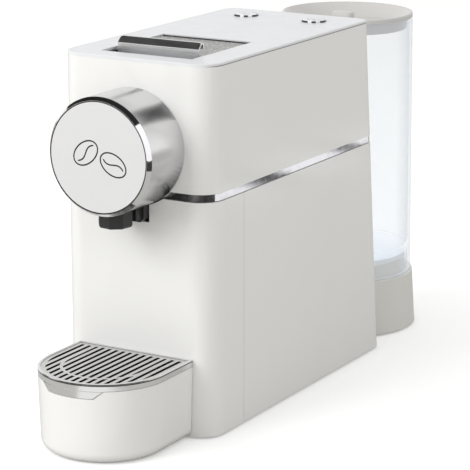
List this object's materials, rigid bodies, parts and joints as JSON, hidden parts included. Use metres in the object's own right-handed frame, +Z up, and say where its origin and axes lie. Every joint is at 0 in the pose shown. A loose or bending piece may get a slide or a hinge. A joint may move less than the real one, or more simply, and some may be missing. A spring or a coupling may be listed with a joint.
{
  "type": "pod coffee machine",
  "caption": "Slim box-shaped pod coffee machine with a round chrome brew head, lever door, D-shaped drip tray and round clear tank behind.",
  "frame": {"origin": "centre of the machine's length and width, on the worktop", "axes": "+Z up, the brew head faces -Y, the water tank is at +Y"},
  "size_m": [0.118, 0.4418, 0.2616],
  "materials": {
    "casing_white": "gloss white moulded plastic",
    "cover_white": "satin white moulded plastic",
    "casing_greige": "satin warm light grey moulded plastic",
    "button_white": "satin white moulded plastic with printed marks",
    "chrome": "polished chrome plating",
    "disc_satin": "satin light grey lacquer",
    "brushed_steel": "fine brushed stainless steel",
    "steel": "plain zinc-plated steel",
    "plastic_black": "fine-grained black moulded plastic",
    "base_black": "dark grey moulded plastic",
    "rubber_black": "matt rubber",
    "silicone": "milky silicone rubber",
    "ptfe": "milky PTFE tube",
    "clear_tank": "clear polished plastic",
    "brass": "machined brass",
    "aluminium": "die-cast aluminium",
    "pump_coil": "moulded coil with laminations",
    "thermostat": "ceramic-filled plastic",
    "circuit_board": "green circuit board",
    "board_parts": "moulded components"
  },
  "bodies": {
    "frame": {"lower_casing": "casing_white", "upper_casing": "casing_white", "chrome_band": "chrome", "top_cover": "cover_white", "base_plate": "base_black", "rubber_feet": "rubber_black", "casing_screws": "steel", "bulkhead": "base_black", "head_shell": "chrome", "head_bezel": "chrome", "head_disc": "disc_satin", "spout_nozzle": "plastic_black", "spout_carrier": "plastic_black", "brew_frame": "steel", "guide_rods": "steel", "brew_seat": "plastic_black", "seat_gasket": "silicone", "outlet_pipe": "silicone", "pod_chute": "plastic_black", "pod_deflector": "plastic_black", "lever_hinge_pin": "steel", "door_microswitch": "plastic_black", "key_board": "circuit_board", "tank_pedestal": "casing_greige", "tank_nipple": "plastic_black", "nipple_seal": "silicone", "intake_hose": "silicone", "flow_meter_body": "plastic_black", "flow_meter_cap": "plastic_black", "pump_hose": "silicone", "pump_core": "brass", "pump_coil": "pump_coil", "pump_bracket": "steel", "pump_mounts": "rubber_black", "pressure_hose": "ptfe", "thermoblock": "aluminium", "feed_gland": "brass", "thermostats": "thermostat", "thermoblock_bracket": "steel", "control_board": "circuit_board", "board_parts": "board_parts", "cord_gland": "rubber_black", "frame_screws": "steel"},
    "lever": {"lever_plate": "brushed_steel", "lever_carrier": "plastic_black"},
    "piston": {"piston_body": "plastic_black", "piston_seal": "silicone", "shower_screen": "steel", "cam_pins": "steel", "feed_pipe": "steel"},
    "left_button": {"button_left": "button_white"},
    "right_button": {"button_right": "button_white"},
    "bin": {"pod_bin": "casing_white"},
    "tray": {"drip_tray": "casing_white"},
    "grille": {"grille_rim": "chrome", "grille_plate": "brushed_steel"},
    "tank": {"tank_shell": "clear_tank"},
    "valve": {"tank_valve": "plastic_black"},
    "lid": {"tank_lid": "casing_greige"},
    "rotor": {"flow_rotor": "plastic_black"}
  },
  "joints": [
    {"name": "lever_hinge", "type": "hinge", "parent": "frame", "child": "lever", "pos_m": [0, -0.0484, 0.2495], "axis": [-1, 0, 0], "range_deg": [0, 80]},
    {"name": "piston_slide", "type": "slide", "parent": "frame", "child": "piston", "axis": [0, 1, 0], "range_m": [0, 0.014]},
    {"name": "left_button_press", "type": "slide", "parent": "frame", "child": "left_button", "axis": [0, 0, -1], "range_m": [0, 0.001], "stiffness_N_per_m": 400},
    {"name": "right_button_press", "type": "slide", "parent": "frame", "child": "right_button", "axis": [0, 0, -1], "range_m": [0, 0.001], "stiffness_N_per_m": 400},
    {"name": "bin_slide", "type": "slide", "parent": "frame", "child": "bin", "axis": [0, -1, 0], "range_m": [0, 0.06]},
    {"name": "tray_slide", "type": "slide", "parent": "bin", "child": "tray", "axis": [0, -1, 0], "range_m": [0, 0.02]},
    {"name": "grille_lift", "type": "slide", "parent": "tray", "child": "grille", "axis": [0, 0, 1], "range_m": [0, 0.03]},
    {"name": "tank_lift", "type": "slide", "parent": "frame", "child": "tank", "axis": [0, 0, 1], "range_m": [0, 0.06]},
    {"name": "valve_lift", "type": "slide", "parent": "tank", "child": "valve", "axis": [0, 0, 1], "range_m": [0, 0.0025], "stiffness_N_per_m": 60},
    {"name": "lid_lift", "type": "slide", "parent": "tank", "child": "lid", "axis": [0, 0, 1], "range_m": [0, 0.04]},
    {"name": "rotor_spin", "type": "hinge", "parent": "frame", "child": "rotor", "pos_m": [-0.022, 0.0906, 0.02], "axis": [0, 0, 1], "continuous": true}
  ],
  "couplings": [
    {"joint": "piston_slide", "follows": "lever_hinge", "m_per_rad": 0.010027}
  ]
}
